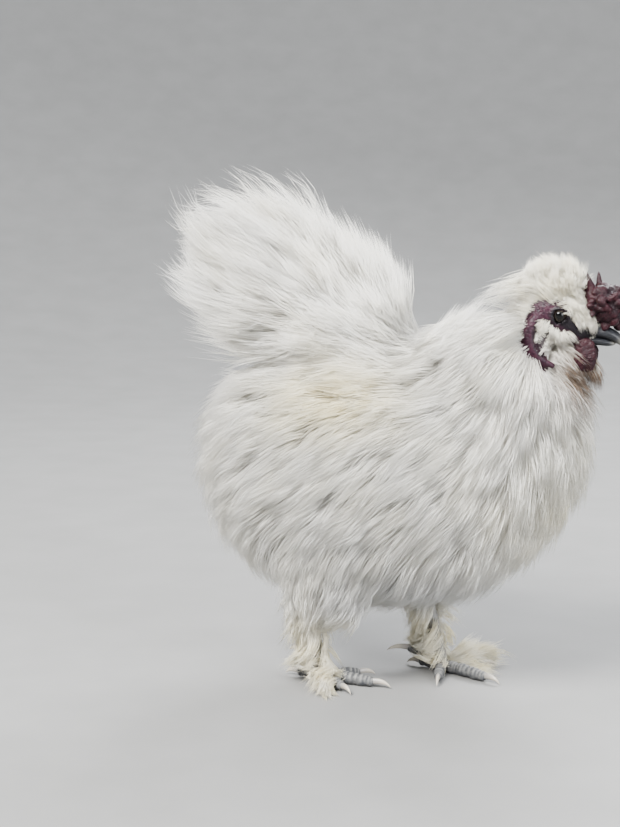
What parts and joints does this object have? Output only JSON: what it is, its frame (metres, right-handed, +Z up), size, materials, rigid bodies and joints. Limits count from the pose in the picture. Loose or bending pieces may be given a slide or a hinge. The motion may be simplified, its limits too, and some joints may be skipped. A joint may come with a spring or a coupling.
{
  "type": "silkie cock, standing, life size",
  "caption": "White silkie cock standing still in mid stride, with a walnut comb, a small crest, a full silky coat, an upright tail and feathered feet.",
  "frame": {"origin": "on the floor, below the middle of the bird's bounding box", "axes": "+X ahead, where the beak points; +Y to the bird's left; +Z up"},
  "size_m": [0.3434, 0.1836, 0.3786],
  "materials": {
    "plumage": "soft white silky feathers, cream in places",
    "skin": "bare mulberry skin",
    "comb": "fleshy dark mulberry comb and wattles",
    "beak": "satin slate horn, paler at the tip",
    "slate": "scaled slate-grey skin",
    "claw": "satin pale horn",
    "eye": "glossy black"
  },
  "bodies": {
    "root": {"head": "skin", "eye_right": "eye", "eye_left": "eye", "beak_upper": "beak", "beak_lower": "beak", "comb": "comb", "wattle_right": "comb", "wattle_left": "comb", "ear_lobe_right": "skin", "ear_lobe_left": "skin", "ear_tuft_right": "plumage", "ear_tuft_left": "plumage", "crest": "plumage", "neck": "plumage", "torso": "plumage", "tail": "plumage", "wing_right": "plumage", "wing_left": "plumage", "thigh_right": "plumage", "thigh_left": "plumage", "shank_right": "plumage", "shank_left": "plumage", "foot_right": "slate", "foot_left": "slate", "claw_right_inner": "claw", "claw_right_middle": "claw", "claw_right_outer": "claw", "claw_right_hind": "claw", "claw_right_extra": "claw", "claw_left_inner": "claw", "claw_left_middle": "claw", "claw_left_outer": "claw", "claw_left_hind": "claw", "claw_left_extra": "claw"}
  },
  "joints": []
}
